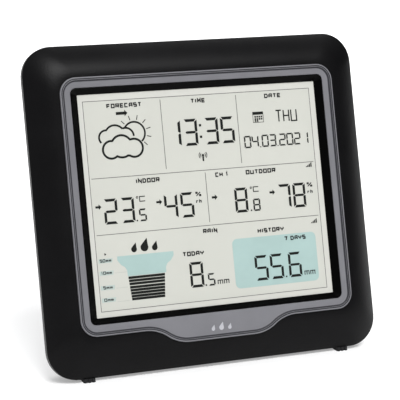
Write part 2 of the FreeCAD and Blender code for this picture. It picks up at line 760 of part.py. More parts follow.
def case_screws():
    """Four screws that hold the rear cover to the front frame."""
    screws = []
    for number, (side, level) in enumerate(POSTS):
        across, up = f"{side}*dims.post_place", f"{level}*dims.post_height"
        seat = "dims.parting_depth + dims.post_floor"
        head = rod(f"case_screw_head_{number}", 2.4, 1.8, (across, seat, up))
        shank = rod(f"case_screw_shank_{number}", 1.08, 8.6, (across, f"{seat} - 8.6", up))
        cross = []
        for arm, (reach, thin) in {"level": (1.3, 0.25), "upright": (0.25, 1.3)}.items():
            span = (f"{across} - {reach}", f"{across} + {reach}", f"{seat} + 1", f"{seat} + 3")
            cross.append(block(f"case_screw_{arm}_{number}", *span, f"{up} - {thin}", f"{up} + {thin}"))
        blank = fuse(f"case_screw_blank_{number}", [head, shank])
        screws.append(cut(f"case_screw_{number}", blank, *cross))
    return finish("case_screws", group("case_screws", screws))


def batteries():
    """Three AA cells lying crosswise, facing alternate ways, with their contacts."""
    plates = []
    springs = []
    spring_length = "(3*dims.spring_pitch + 2*dims.spring_wire)"
    for label, place in CELLS.items():
        way = 1 if place == 0 else -1
        forward = Vector(way, 0, 0)
        level = f"dims.cell_centre + {place}*dims.cell_pitch"
        flat_end = (f"{way}*({spring_length} - dims.contact_place)", "dims.cell_depth", level)
        shell = rod(f"{label}_shell", "dims.cell_diameter/2", "dims.cell_length", flat_end, forward)
        nub_reach = "dims.cell_length + dims.nub_length"
        nub = rod(f"{label}_nub", "dims.nub_radius", nub_reach, flat_end, forward)
        finish(label, fuse(label, [shell, nub]))
        for name, inner, outer in (
            ("left", "-dims.contact_place - dims.contact_thickness", "-dims.contact_place"),
            ("right", "dims.contact_place", "dims.contact_place + dims.contact_thickness"),
        ):
            plate = (inner, outer, 3.5, 13.5, f"{level} - 6", f"{level} + 6")
            plates.append(block(f"{label}_plate_{name}", *plate))
        base = Vector(value(f"{-way}*dims.contact_place"), value("dims.cell_depth"), value(level))
        springs.append(contact_spring(label, Placement(base, Rotation(UPWARD, forward))))
    finish("contact_plates", group("contact_plates", plates))
    finish("contact_springs", group("contact_springs", springs))


def contact_spring(label, placement):
    """Coil spring of three turns: level half rings joined by rising half rings."""
    radius, wire, pitch = (value(f"dims.spring_{item}") for item in ("radius", "wire", "pitch"))
    rise = math.degrees(math.atan(pitch / (2 * radius)))
    tilted = Rotation(REARWARD, -rise).multiply(Rotation(UPWARD, 180))
    halves = []
    for number in range(7):
        ring = doc.addObject("Part::Torus", f"{label}_spring_half_{number}")
        bind(ring, Radius2="dims.spring_wire")
        ring.Angle3 = 180
        rising = number % 2 == 1
        turn = tilted if rising else Rotation()
        reach = "sqrt(dims.spring_radius^2 + dims.spring_pitch^2/4)" if rising else "dims.spring_radius"
        bind(ring, Radius1=reach)
        ring.Placement = Placement(Vector(0, 0, wire + number * pitch / 2), turn)
        halves.append(ring)
    coil = fuse(f"{label}_spring", halves)
    coil.Placement = placement
    return coil


def sensor_and_buzzer():
    """Room sensor behind the vents and buzzer behind the sound holes."""
    behind = 11.4
    across, up = ("dims.vent_left + 1", "dims.vent_right - 1"), "dims.vent_bottom"
    board = block("sensor_board", *across, behind, behind + 1, f"{up} - 2", f"{up} + 24")
    left = "dims.vent_left + 6"
    chip = block("sensor_chip", left, f"{left} + 5", behind + 1, behind + 2.5, f"{up} + 9", f"{up} + 14")
    finish("climate_sensor", fuse("climate_sensor", [board, chip]))
    inside = "dims.back_depth - dims.wall"
    centre = ("dims.buzzer_place", f"{inside} - dims.buzzer_depth", "dims.buzzer_height")
    mouth = ("dims.buzzer_place", f"{inside} - dims.buzzer_depth + 1", "dims.buzzer_height")
    cup = rod("buzzer_cup", "dims.buzzer_radius", "dims.buzzer_depth", centre)
    hollow = rod("buzzer_hollow", "dims.buzzer_radius - 1.4", "dims.buzzer_depth", mouth)
    finish("buzzer", cut("buzzer", cup, hollow))


def feet():
    """Two small rubber feet, cut level where they meet the table."""
    slope = math.tan(math.radians(value("dims.lean_angle")))
    for label, side in (("foot_left", -1), ("foot_right", 1)):
        body = doc.addObject("PartDesign::Body", label)
        profile = body.newObject("Sketcher::SketchObject", f"{label}_profile")
        plane = next(item for item in body.Origin.OriginFeatures if item.Role == "YZ_Plane")
        profile.AttachmentSupport = [(plane, "")]
        profile.MapMode = "FlatFace"
        profile.setExpression("AttachmentOffset.Base.z", f"{side}*dims.foot_place")
        front, rear = value("dims.foot_front"), value("dims.foot_rear")
        top = value("-dims.case_height/2")
        low = value("-dims.case_height/2 - dims.foot_drop")
        corners = [(front, low), (rear, low + (rear - front) * slope), (rear, top), (front, top)]
        loop = [line(*corners[item], *corners[(item + 1) % 4]) for item in range(4)]
        profile.addGeometry(loop, False)
        run = "(dims.foot_rear - dims.foot_front)"
        rear_low = f"-dims.case_height/2 - dims.foot_drop + {run}*tan(dims.lean_angle*1 deg)"
        constraints = [Sketcher.Constraint("Coincident", item, 2, (item + 1) % 4, 1) for item in range(4)]
        constraints += [Sketcher.Constraint("Vertical", 1), Sketcher.Constraint("Vertical", 3)]
        constraints.append(Sketcher.Constraint("Horizontal", 2))
        profile.addConstraint(constraints)
        driven = [
            (("DistanceX", -1, 1, 0, 1), "dims.foot_front"),
            (("DistanceY", -1, 1, 0, 1), "-dims.case_height/2 - dims.foot_drop"),
            (("DistanceX", -1, 1, 0, 2), "dims.foot_rear"),
            (("DistanceY", -1, 1, 0, 2), rear_low),
            (("DistanceY", -1, 1, 2, 1), "-dims.case_height/2"),
        ]
        for entry, expression in driven:
            index = profile.addConstraint(Sketcher.Constraint(*entry, value(expression)))
            profile.setExpression(f"Constraints[{index}]", expression)
        doc.recompute()
        pad = body.newObject("PartDesign::Pad", f"{label}_pad")
        pad.Profile = profile
        pad.Midplane = True
        pad.setExpression("Length", "dims.foot_width")
        body.Tip = pad
        doc.recompute()
        finish(label, body)


def stand_placement():
    """The open stand: its rubber tip touches Z = 0 behind the case."""
    pin = CASE.multVec(Vector(0, value("dims.hinge_depth"), value("dims.hinge_height")))
    fall = (pin.z - value("dims.stand_tip_radius")) / value("dims.stand_length")
    turn = 90 + math.degrees(math.asin(fall))
    return Placement(pin, Rotation(RIGHT, -turn))


def stand():
    """Stand plate drawn upright from its hinge pin, then turned down to the table."""
    open_place = stand_placement()
    plate = block(
        "stand_plate",
        "-dims.stand_width/2",
        "dims.stand_width/2",
        "-dims.stand_thickness/2",
        "dims.stand_thickness/2",
        0,
        "dims.stand_length",
    )
    knuckle_start = ("-dims.stand_width/2", "0", "0")
    knuckle = rod("stand_knuckle", "dims.knuckle_radius", "dims.stand_width", knuckle_start, RIGHT)
    bore_start = ("-dims.stand_width/2 - 1", "0", "0")
    bore_radius = "dims.pin_radius + dims.running_gap"
    bore = rod("stand_bore", bore_radius, "dims.stand_width + 2", bore_start, RIGHT)
    hollow_side = "dims.stand_width/2 - 9.5"
    window = block(
        "stand_window",
        f"-({hollow_side})",
        hollow_side,
        "-dims.stand_thickness/2 - 1",
        "dims.stand_thickness/2 - 1.4",
        7,
        "dims.stand_length - 8",
    )
    strip_start = ("-dims.stand_width/2", "0", "dims.stand_length")
    groove = rod("stand_groove", "dims.stand_tip_radius", "dims.stand_width", strip_start, RIGHT)
    solid = fuse("stand_solid", [plate, knuckle])
    finish("stand_plate", cut("stand", solid, bore, window, groove), open_place)
    strip = rod("stand_strip", "dims.stand_tip_radius", "dims.stand_width", strip_start, RIGHT)
    finish("stand_tip_strip", strip, open_place)
    pin_start = ("-dims.recess_half_width - 2", "dims.hinge_depth", "dims.hinge_height")
    pin = rod("stand_pin", "dims.pin_radius", "2*dims.recess_half_width + 4", pin_start, RIGHT)
    finish("stand_pin", pin)


def battery_door():
    """Cover of the battery bay with a finger grip; it lifts straight off the back."""
    half = "dims.bay_half_width + dims.door_margin - dims.door_gap"
    low = "dims.cell_centre - dims.bay_half_height - dims.door_margin + dims.door_gap"
    high = "dims.cell_centre + dims.bay_half_height + dims.door_margin - dims.door_gap"
    inner = "dims.back_depth - dims.door_thickness"
    plate = block("door_plate", f"-({half})", half, inner, "dims.back_depth", low, high)
    grip = []
    for number in range(4):
        floor, past = "dims.back_depth - dims.grip_depth", "dims.back_depth + 1"
        level = f"dims.grip_bottom + {number}*dims.grip_pitch"
        half_length = "dims.grip_half_width"
        groove = (f"-{half_length}", half_length, floor, past, level, f"{level} + dims.grip_pitch/2")
        grip.append(block(f"door_grip_{number}", *groove))
    return finish("battery_door", cut("battery_door", plate, *grip))


def keys():
    """Six round keys with a retaining flange and a stem that reaches to the switch."""
    for label, (side, level) in KEYS.items():
        column = f"{side}*dims.key_column"
        inside = "dims.back_depth - dims.wall"
        flange_depth, cap_depth = f"{inside} - 0.9", f"{inside} - 0.3"
        cap_length = "dims.wall + dims.key_proud + 0.3"
        cap = rod(f"{label}_cap", "dims.key_radius", cap_length, (column, cap_depth, level))
        flange = rod(f"{label}_flange", "dims.key_flange", 0.6, (column, flange_depth, level))
        stem_front = "dims.board_depth + dims.board_thickness + 4.2"
        stem = rod(f"{label}_stem", 1.5, f"{inside} - ({stem_front})", (column, stem_front, level))
        finish(label, fuse(label, [cap, flange, stem]))


def build():
    front_frame()
    trim_ring()
    display_surround()
    display_stack()
    display_frame()
    main_board()
    board_components()
    clock_antenna()
    rear_cover()
    case_screws()
    batteries()
    sensor_and_buzzer()
    feet()
    stand()
    battery_door()
    keys()
    doc.recompute()


def check():
    """Stop if any object failed or any sub-part is not a valid solid."""
    for item in doc.Objects:
        if "Invalid" in item.State or "Error" in item.State:
            raise RuntimeError(f"{item.Name} failed: {item.State}")
    for label, feature in parts.items():
        shape = feature.Shape
        if shape.isNull() or not shape.isValid() or not shape.Solids:
            raise RuntimeError(f"{label} has no valid solid")


build()
check()
os.makedirs("parts", exist_ok=True)
box = FreeCAD.BoundBox()
for label, feature in parts.items():
    feature.Shape.exportStep(f"parts/{label}.step")
    box.add(feature.Shape.BoundBox)
print(f"{len(parts)} sub-parts, box {box}")
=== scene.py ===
"""Looks of the home weather station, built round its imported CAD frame.

Sizes are millimetres of the case: X to the viewer's right, Y into the case, Z up the face,
from the centre of the face on the plane of its outer edge.  CASE turns them into metres of
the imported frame.  A "height" is how far a point stands forward of that plane, so it is -Y.
An outline is a list of (x, z) points, and a ring is an outline at a height.
"""

import json
import math

import bmesh
import bpy
from mathutils import Matrix, Vector


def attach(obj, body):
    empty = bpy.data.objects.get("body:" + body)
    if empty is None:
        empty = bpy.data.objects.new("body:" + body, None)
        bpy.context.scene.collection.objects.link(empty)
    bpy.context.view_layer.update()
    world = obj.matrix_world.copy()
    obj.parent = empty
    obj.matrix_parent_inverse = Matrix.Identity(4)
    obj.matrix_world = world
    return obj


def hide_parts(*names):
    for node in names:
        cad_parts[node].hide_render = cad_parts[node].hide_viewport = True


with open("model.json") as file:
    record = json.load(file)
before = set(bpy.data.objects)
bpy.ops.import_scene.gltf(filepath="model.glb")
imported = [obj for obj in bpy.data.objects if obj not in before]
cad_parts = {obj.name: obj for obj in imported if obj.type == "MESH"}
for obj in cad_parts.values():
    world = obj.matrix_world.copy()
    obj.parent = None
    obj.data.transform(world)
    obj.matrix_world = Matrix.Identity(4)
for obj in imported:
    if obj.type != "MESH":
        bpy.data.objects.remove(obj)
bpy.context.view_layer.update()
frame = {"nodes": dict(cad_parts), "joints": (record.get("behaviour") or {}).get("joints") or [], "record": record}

MM_PER_METRE = 1000.0
JOINTS = {joint["name"]: joint for joint in frame["joints"]}
OUT_OF_BACK = Vector(JOINTS["battery_door_release"]["axis"])
LEAN = math.atan2(-OUT_OF_BACK.z, OUT_OF_BACK.y)
HINGE_PIN = Vector((0, 15, -64))
CASE = (
    Matrix.Translation(Vector(JOINTS["stand_hinge"]["pos_m"]))
    @ Matrix.Rotation(-LEAN, 4, "X")
    @ Matrix.Scale(1 / MM_PER_METRE, 4)
    @ Matrix.Translation(-HINGE_PIN)
)

# The case's outer edge, the bulge of its face, and the parting line with the rear cover.
HALF_WIDTH, HALF_HEIGHT, CASE_RADIUS = 84.0, 77.5, 14.4
FACE_HEIGHT, BULGE_POWER = 8.0, 1.8
PARTING_DEPTH = 3.0
BACK_DEPTH = 17.5

# The trim: its outer edge, the tab below the display, and its seat in the case.
TRIM_HALF, TRIM_TOP, TRIM_BOTTOM, TRIM_RADIUS = 69.2, 61.9, -58.2, 8.0
TAB_BOTTOM, TAB_FLAT, TAB_REACH = -65.5, 16.5, 38.5
TRIM_SEAT, BAND_HEIGHT = 6.4, 8.0

# The well that slopes down from the trim to the display's window.
WELL_HALF, WELL_TOP, WELL_BOTTOM, WELL_RADIUS = 64.1, 56.9, -52.9, 2.8
WINDOW_LEFT, WINDOW_RIGHT, WINDOW_BOTTOM, WINDOW_TOP = -60.2, 60.65, -49.95, 53.75
OPENING_MARGIN = 1.5
DISPLAY_HEIGHT = 5.0

# The display's active area, and the ink on it: each layer lies a little above the last.
ACTIVE_AREA = (-57.4, 57.4, -46.85, 50.15)
LAYER_STEP, INK_THICKNESS = 0.012, 0.02

# Rear keys.
KEY_COLUMN, KEY_RADIUS = 50.0, 4.1
KEY_LEVELS = (-22.0, -38.0, -54.0)

CORNER_STEPS = 12
SWEEP_STEPS = 12


# ---------------------------------------------------------------- materials


# The spans that most of a noise's values lie in, for gloss and for colour.
GLOSS_SPAN = (0.3, 0.7)
COLOUR_SPAN = (0.35, 0.65)
GLOSS_DRIFT = 0.08


def noise(nodes, links, size_mm, detail):
    """A noise whose features are about size_mm across, fixed to the object."""
    place = nodes.new("ShaderNodeTexCoord")
    texture = nodes.new("ShaderNodeTexNoise")
    texture.inputs["Scale"].default_value = MM_PER_METRE / size_mm
    texture.inputs["Detail"].default_value = detail
    texture.inputs["Roughness"].default_value = 0.6
    links.new(place.outputs["Object"], texture.inputs["Vector"])
    return texture.outputs["Fac"]


def ranged(nodes, links, source, low, high):
    """Spread a noise's values between two others."""
    spread = nodes.new("ShaderNodeMapRange")
    spread.inputs["From Min"].default_value, spread.inputs["From Max"].default_value = GLOSS_SPAN
    spread.inputs["To Min"].default_value = low
    spread.inputs["To Max"].default_value = high
    links.new(source, spread.inputs["Value"])
    return spread.outputs["Result"]


def tinted(nodes, links, source, first, second):
    """A colour that drifts between two with a noise's values."""
    ramp = nodes.new("ShaderNodeValToRGB")
    for stop, position, colour in zip(ramp.color_ramp.elements, COLOUR_SPAN, (first, second)):
        stop.position = position
        stop.color = (*colour, 1)
    links.new(source, ramp.inputs["Fac"])
    return ramp.outputs["Color"]


def scaled(colour, factor):
    return tuple(min(1.0, channel * factor) for channel in colour)


def surface(name, colour, roughness, grain_mm=0.3, relief_mm=0.01, drift=0.12, patch_mm=30.0, **sockets):
    """A moulded, painted or rubbery surface: fine grain, and slow drift of colour and gloss.

    drift is the share by which the colour wanders over patches about patch_mm across.
    """
    material = bpy.data.materials.new(name)
    material.use_nodes = True
    nodes, links = material.node_tree.nodes, material.node_tree.links
    shader = nodes["Principled BSDF"]
    patches = noise(nodes, links, patch_mm, 3.0)
    tint = tinted(nodes, links, patches, scaled(colour, 1 - drift), scaled(colour, 1 + drift))
    gloss = ranged(nodes, links, patches, roughness * (1 - GLOSS_DRIFT), roughness * (1 + GLOSS_DRIFT))
    links.new(tint, shader.inputs["Base Color"])
    links.new(gloss, shader.inputs["Roughness"])
    bump = nodes.new("ShaderNodeBump")
    bump.inputs["Strength"].default_value = 1.0
    bump.inputs["Distance"].default_value = relief_mm / MM_PER_METRE
    links.new(noise(nodes, links, grain_mm, 2.0), bump.inputs["Height"])
    links.new(bump.outputs["Normal"], shader.inputs["Normal"])
    for socket, level in sockets.items():
        shader.inputs[socket.replace("_", " ")].default_value = level
    return material


def finish(*values, **sockets):
    """What surface takes after the name, held for the table below."""
    return values, sockets


def metal(colour, roughness, grain_mm=0.4):
    return finish(colour, roughness, grain_mm, 0.004, 0.08, 6.0, Metallic=1.0)


BLACK = (0.0030, 0.0029, 0.0033)
MATT = {"Specular_IOR_Level": 0.08}
SATIN = {"Specular_IOR_Level": 0.3}
PRINT = {"Specular_IOR_Level": 0.1}
CLEAR = {"Transmission_Weight": 1.0}
# Colour, roughness, grain and relief in mm, drift of the colour, and patches in mm.
FINISHES = {
    "black_case": finish(BLACK, 0.38, 0.8, 0.07, 0.15, Specular_IOR_Level=0.11),
    "black_cover": finish(scaled(BLACK, 1.6), 0.5, 0.5, 0.04, 0.15, **SATIN),
    "black_door": finish(scaled(BLACK, 2.0), 0.45, 0.5, 0.03, 0.15, **SATIN),
    "black_stand": finish(scaled(BLACK, 2.0), 0.4, 0.5, 0.03, 0.15, **SATIN),
    "black_surround": finish((0.001, 0.001, 0.001), 0.22, 0.5, 0.002, 0.1, Specular_IOR_Level=0.05),
    "key_black": finish(scaled(BLACK, 5.0), 0.35, 0.3, 0.006, 0.12, 8.0, **SATIN),
    "grey_trim": finish((0.168, 0.168, 0.182), 0.4, 0.18, 0.004, 0.04, 20.0, **SATIN),
    # Painted shade: a dark grey for the trim's groove and the step down to its band, standing in for the shade
    # that falls there.
    "grey_trim_painted_shade": finish((0.035, 0.035, 0.04), 0.4, 0.18, 0.004, 0.04, 20.0, **MATT),
    "display_film": finish((0.53, 0.535, 0.49), 0.5, 0.12, 0.002, 0.012, 40.0, **PRINT),
    "display_margin": finish((0.56, 0.56, 0.52), 0.5, 0.12, 0.002, 0.012, 40.0, **PRINT),
    "display_ink": finish((0.010, 0.011, 0.010), 0.5, 0.2, 0.001, 0.2, 3.0, **PRINT),
    "display_label": finish((0.016, 0.016, 0.017), 0.5, 0.2, 0.001, 0.2, 3.0, **PRINT),
    "display_line": finish((0.155, 0.155, 0.148), 0.5, 0.2, 0.001, 0.05, 10.0, **PRINT),
    "display_faint": finish((0.415, 0.43, 0.4), 0.5, 0.2, 0.001, 0.05, 10.0, **PRINT),
    "display_teal": finish((0.35, 0.475, 0.455), 0.5, 0.2, 0.001, 0.03, 15.0, **PRINT),
    "display_pale": finish((0.43, 0.505, 0.475), 0.5, 0.2, 0.001, 0.03, 15.0, **PRINT),
    "foot_rubber": finish((0.02, 0.02, 0.021), 0.7, 0.5, 0.03, 0.2, 4.0, **MATT),
    "display_glass": finish((0.85, 0.9, 0.88), 0.1, 1.0, 0.001, 0.02, **CLEAR),
    "reflector_film": finish((0.7, 0.72, 0.68), 0.35, 0.2, 0.002, 0.04),
    "clear_acrylic": finish((0.9, 0.93, 0.94), 0.15, 1.0, 0.001, 0.02, **CLEAR),
    "lamp_white": finish((0.85, 0.84, 0.76), 0.4, 0.3, 0.003, 0.04, 2.0),
    "white_plastic": finish((0.8, 0.8, 0.77), 0.45, 0.3, 0.006, 0.03),
    "contact_rubber": finish((0.5, 0.3, 0.32), 0.7, 0.2, 0.004, 0.1, 3.0),
    "circuit_board": finish((0.02, 0.17, 0.06), 0.35, 0.8, 0.01, 0.2, 5.0),
    "radio_board": finish((0.015, 0.07, 0.22), 0.35, 0.8, 0.01, 0.2, 5.0),
    "chip_epoxy": finish((0.008, 0.008, 0.009), 0.25, 2.0, 0.02, 0.1, 4.0),
    "screw_steel": metal((0.5, 0.5, 0.52), 0.35),
    "switch_steel": metal((0.42, 0.42, 0.44), 0.4),
    "tin_can": metal((0.66, 0.66, 0.68), 0.3),
    "antenna_wire": metal((0.72, 0.36, 0.16), 0.35),
    "ferrite": finish((0.03, 0.028, 0.028), 0.6, 0.6, 0.02, 0.2, 4.0),
    "copper_winding": metal((0.6, 0.22, 0.08), 0.35, 0.25),
    "grey_plastic": finish((0.32, 0.32, 0.34), 0.5, 0.4, 0.01, 0.06),
    "cell_sleeve": finish((0.05, 0.12, 0.3), 0.3, 1.0, 0.004, 0.1, 10.0),
    "contact_nickel": metal((0.7, 0.68, 0.62), 0.3),
    "buzzer_black": finish((0.02, 0.02, 0.02), 0.5, 0.4, 0.01, 0.1, 5.0),
    "tab_print": finish((0.42, 0.42, 0.45), 0.4, 0.2, 0.002, 0.05, 5.0),
    "back_print": finish((0.3, 0.3, 0.31), 0.5, 0.2, 0.002, 0.05, 5.0),
}
MATERIALS = {name: surface(name, *values, **sockets) for name, (values, sockets) in FINISHES.items()}

for row in frame["record"]["subparts"]:
    node = frame["nodes"][row["node"]]
    node.data.materials.clear()
    node.data.materials.append(MATERIALS[row["material_slot"]])


# ---------------------------------------------------------------- mesh tools


def make_piece(name, points, faces, material, slot, body="case", replaced=(), crease=35.0):
    """A closed mesh from case millimetres, shaded smooth below the crease angle."""
    mesh = bpy.data.meshes.new(name)
    mesh.from_pydata([CASE @ Vector(point) for point in points], [], faces)
    work = bmesh.new()
    work.from_mesh(mesh)
    bmesh.ops.recalc_face_normals(work, faces=work.faces)
    work.to_mesh(mesh)
    work.free()
    mesh.polygons.foreach_set("use_smooth", [True] * len(mesh.polygons))
    mesh.set_sharp_from_angle(angle=math.radians(crease))
    piece = bpy.data.objects.new(name, mesh)
    bpy.context.scene.collection.objects.link(piece)
    mesh.materials.append(MATERIALS[material])
    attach(piece, body)
    if replaced:
        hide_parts(*replaced)
    return piece


def tube_of_rings(rings):
    """Points and faces of a closed skin through rings of equal length, last joined to first."""
    count = len(rings[0])
    points = [point for ring in rings for point in ring]
    faces = []
    for row in range(len(rings)):
        here = row * count
        there = (row + 1) % len(rings) * count
        for item in range(count):
            other = (item + 1) % count
            faces.append((here + item, here + other, there + other, there + item))
    return points, faces


def arc_points(x, z, radius, start, end, steps):
    """Points of an arc with its outward directions, angles in degrees."""
    found = []
    for step in range(steps + 1):
        angle = math.radians(start + (end - start) * step / steps)
        out_x, out_z = math.cos(angle), math.sin(angle)
        found.append((x + radius * out_x, z + radius * out_z, out_x, out_z))
    return found


def trim_outline(inset):
    """The trim's outer edge moved inwards, from the tab's flat up the right and down the left.

    Two equal arcs join the tab's flat to the trim's lower edge, and meet on the same slope.
    """
    run, drop = TAB_REACH - TAB_FLAT, TRIM_BOTTOM - TAB_BOTTOM
    radius = (run**2 + drop**2) / (4 * drop)
    sweep = math.degrees(math.asin(run / (2 * radius)))
    swell = arc_points(TAB_FLAT, TAB_BOTTOM + radius, radius, -90, -90 + sweep, SWEEP_STEPS)
    hollow = arc_points(TAB_REACH, TRIM_BOTTOM - radius, radius, 90 + sweep, 90, SWEEP_STEPS)
    right = [(x - out_x * inset, z - out_z * inset) for x, z, out_x, out_z in swell]
    right += [(x + in_x * inset, z + in_z * inset) for x, z, in_x, in_z in hollow]
    for corner_z, start in ((TRIM_BOTTOM + TRIM_RADIUS, -90), (TRIM_TOP - TRIM_RADIUS, 0)):
        corner = arc_points(TRIM_HALF - TRIM_RADIUS, corner_z, TRIM_RADIUS, start, start + 90, CORNER_STEPS)
        right += [(x - out_x * inset, z - out_z * inset) for x, z, out_x, out_z in corner]
    return right + [(-x, z) for x, z in reversed(right)]


def matched_rectangle(half, bottom, top, radius):
    """A rounded rectangle whose points pair up with those of the trim's outline."""
    lower_edge = trim_outline(0)[: 2 * (SWEEP_STEPS + 1)]
    right = [(x * (half - radius) / (TRIM_HALF - TRIM_RADIUS), bottom) for x, _ in lower_edge]
    for corner_z, start in ((bottom + radius, -90), (top - radius, 0)):
        corner = arc_points(half - radius, corner_z, radius, start, start + 90, CORNER_STEPS)
        right += [(x, z) for x, z, _, _ in corner]
    return right + [(-x, z) for x, z in reversed(right)]


def case_outline(inset):
    half_width, half_height = HALF_WIDTH - inset, HALF_HEIGHT - inset
    return matched_rectangle(half_width, -half_height, half_height, CASE_RADIUS - inset)


def well_outline(inset):
    return matched_rectangle(WELL_HALF - inset, WELL_BOTTOM + inset, WELL_TOP - inset, WELL_RADIUS - inset)


def rectangle(left, right, bottom, top):
    return [(left, bottom), (right, bottom), (right, top), (left, top)]


def ring_at(outline, height):
    return [(x, -height, z) for x, z in outline]


# ---------------------------------------------------------------- case front


SHARE_LIMIT, SHARE_ROUNDS = 1.3, 26
FACE_STEPS, FACE_SPREAD = 30, 1.6


def bulge_share(x, z):
    """How far in from the outer edge to the trim a point of the face lies, 0 to 1.

    The rounded rectangles between the two are searched, by halving, for the one that the
    point is on.  The search goes past the trim's edge, because its tab lies outside it.
    """
    low, high = 0.0, SHARE_LIMIT
    for _ in range(SHARE_ROUNDS):
        share = (low + high) / 2
        half = HALF_WIDTH + share * (TRIM_HALF - HALF_WIDTH)
        top = HALF_HEIGHT + share * (TRIM_TOP - HALF_HEIGHT)
        bottom = -HALF_HEIGHT + share * (TRIM_BOTTOM + HALF_HEIGHT)
        radius = CASE_RADIUS + share * (TRIM_RADIUS - CASE_RADIUS)
        over_x = max(abs(x) - (half - radius), 0)
        over_z = max(z - (top - radius), (bottom + radius) - z, 0)
        outside = over_x > 0 or over_z > 0
        if outside and math.hypot(over_x, over_z) > radius:
            high = share
        else:
            low = share
    return (low + high) / 2


def face_height(x, z):
    """Height of the bulging face: steep at the outer edge, nearly level at the trim."""
    share = min(bulge_share(x, z), 1.0)
    return FACE_HEIGHT * (1 - (1 - share) ** BULGE_POWER)


def front_frame():
    """The front shell: opening, rounded lip at the parting line, bulging face and trim seat."""
    outer, inner = case_outline(0), trim_outline(0)
    opening = well_outline(-OPENING_MARGIN)
    rings = [ring_at(opening, -PARTING_DEPTH)]
    for inset, rise in ((0.35, 0.0), (0.1, 0.1), (0.0, 0.4)):
        rings.append(ring_at(case_outline(inset), rise - PARTING_DEPTH))
    for step in range(FACE_STEPS + 1):
        share = (step / FACE_STEPS) ** FACE_SPREAD
        ring = []
        for (x0, z0), (x1, z1) in zip(outer, inner):
            x, z = x0 + (x1 - x0) * share, z0 + (z1 - z0) * share
            ring.append((x, -face_height(x, z), z))
        rings.append(ring)
    rings.append(ring_at(inner, TRIM_SEAT))
    rings.append(ring_at(opening, TRIM_SEAT))
    make_piece(
        "front_moulding", *tube_of_rings(rings), "black_case", slot="black_case",
        replaced=["front_frame"],
    )


def trim_ring():
    """Outer rim, groove, second crest and a step down to the flat band, with painted shade in dark grey on the
    groove and the step.
    """
    rim = [(0.1, TRIM_SEAT), (0.1, 8.4), (0.2, 8.6), (0.4, 8.68), (0.75, 8.6)]
    groove = [(0.85, 8.15), (1.1, 8.15)]
    crest = [(1.2, 8.5), (1.4, 8.55)]
    band = [(2.2, 8.03), (2.6, BAND_HEIGHT)]
    inner_edge = [(-0.35, BAND_HEIGHT), (-0.1, 7.93), (0, 7.75), (0, TRIM_SEAT)]
    rings = [ring_at(trim_outline(inset), height) for inset, height in rim + groove + crest + band]
    rings += [ring_at(well_outline(inset), height) for inset, height in inner_edge]
    piece = make_piece(
        "trim_moulding", *tube_of_rings(rings), "grey_trim", slot="grey_trim", replaced=["trim_ring"]
    )
    # Painted shade: the faces of the groove and of the step down to the band take the dark grey, in place of the
    # shade there.
    piece.data.materials.append(MATERIALS["grey_trim_painted_shade"])
    into_groove = len(rim) - 1
    down_to_band = len(rim + groove + crest) - 1
    painted_shade_rows = (into_groove, into_groove + 1, into_groove + 2, down_to_band)
    around = len(rings[0])
    for polygon in piece.data.polygons:
        if polygon.index // around in painted_shade_rows:
            polygon.material_index = 1


def display_surround():
    """The black well, from its rounded lip under the trim down to the window's sharp edge."""
    lip = [(0.1, DISPLAY_HEIGHT), (0.1, 7.7), (0.2, 7.85), (0.4, 7.9)]
    rings = [ring_at(well_outline(inset), height) for inset, height in lip]
    middle, half = (WINDOW_LEFT + WINDOW_RIGHT) / 2, (WINDOW_RIGHT - WINDOW_LEFT) / 2
    window = matched_rectangle(half, WINDOW_BOTTOM, WINDOW_TOP, 0.3)
    window = [(x + middle, z) for x, z in window]
    rings.append(ring_at(window, DISPLAY_HEIGHT + 0.2))
    rings.append(ring_at(window, DISPLAY_HEIGHT))
    make_piece(
        "display_well", *tube_of_rings(rings), "black_surround", slot="black_surround",
        replaced=["display_surround"], crease=25.0,
    )


def feet():
    """Ribbed rubber nubs: three ribs across, ground level underneath."""
    place, width, front, rear, drop = 65.0, 5.7, -0.6, 5.0, 1.9
    ribs, groove_depth = 3, 0.45
    rib = width / ribs
    groove, lip = rib * 0.14, rib * 0.24
    rib_profile = [
        (0, groove_depth), (groove, groove_depth), (lip, 0), (rib - lip, 0), (rib - groove, groove_depth),
    ]
    top = -HALF_HEIGHT
    slope = math.tan(LEAN)
    for name, side in (("foot_left", -1), ("foot_right", 1)):
        start = side * place - width / 2
        columns = [(start + number * rib + x, back) for number in range(ribs) for x, back in rib_profile]
        columns.append((side * place + width / 2, groove_depth))
        points, faces = [], []
        for x, back in columns:
            points += [
                (x, front + back, top - drop + back * slope),
                (x, rear, top - drop + (rear - front) * slope),
                (x, rear, top),
                (x, front + back, top),
            ]
        for number in range(len(columns) - 1):
            for item in range(4):
                near, far = number * 4, number * 4 + 4
                other = (item + 1) % 4
                faces.append((near + item, near + other, far + other, far + item))
        last = (len(columns) - 1) * 4
        faces += [(0, 1, 2, 3), (last, last + 1, last + 2, last + 3)]
        make_piece(
            f"{name}_ribbed", points, faces, "foot_rubber", slot="foot_rubber", replaced=[name],
            crease=20.0,
        )


# ---------------------------------------------------------------- line artwork


def prism(outline, low, high):
    """A flat plate over a simple polygon, between two heights."""
    count = len(outline)
    points = ring_at(outline, low) + ring_at(outline, high)
    faces = [tuple(range(count)), tuple(range(2 * count - 1, count - 1, -1))]
    for item in range(count):
        other = (item + 1) % count
        faces.append((item, other, count + other, count + item))
    return points, faces


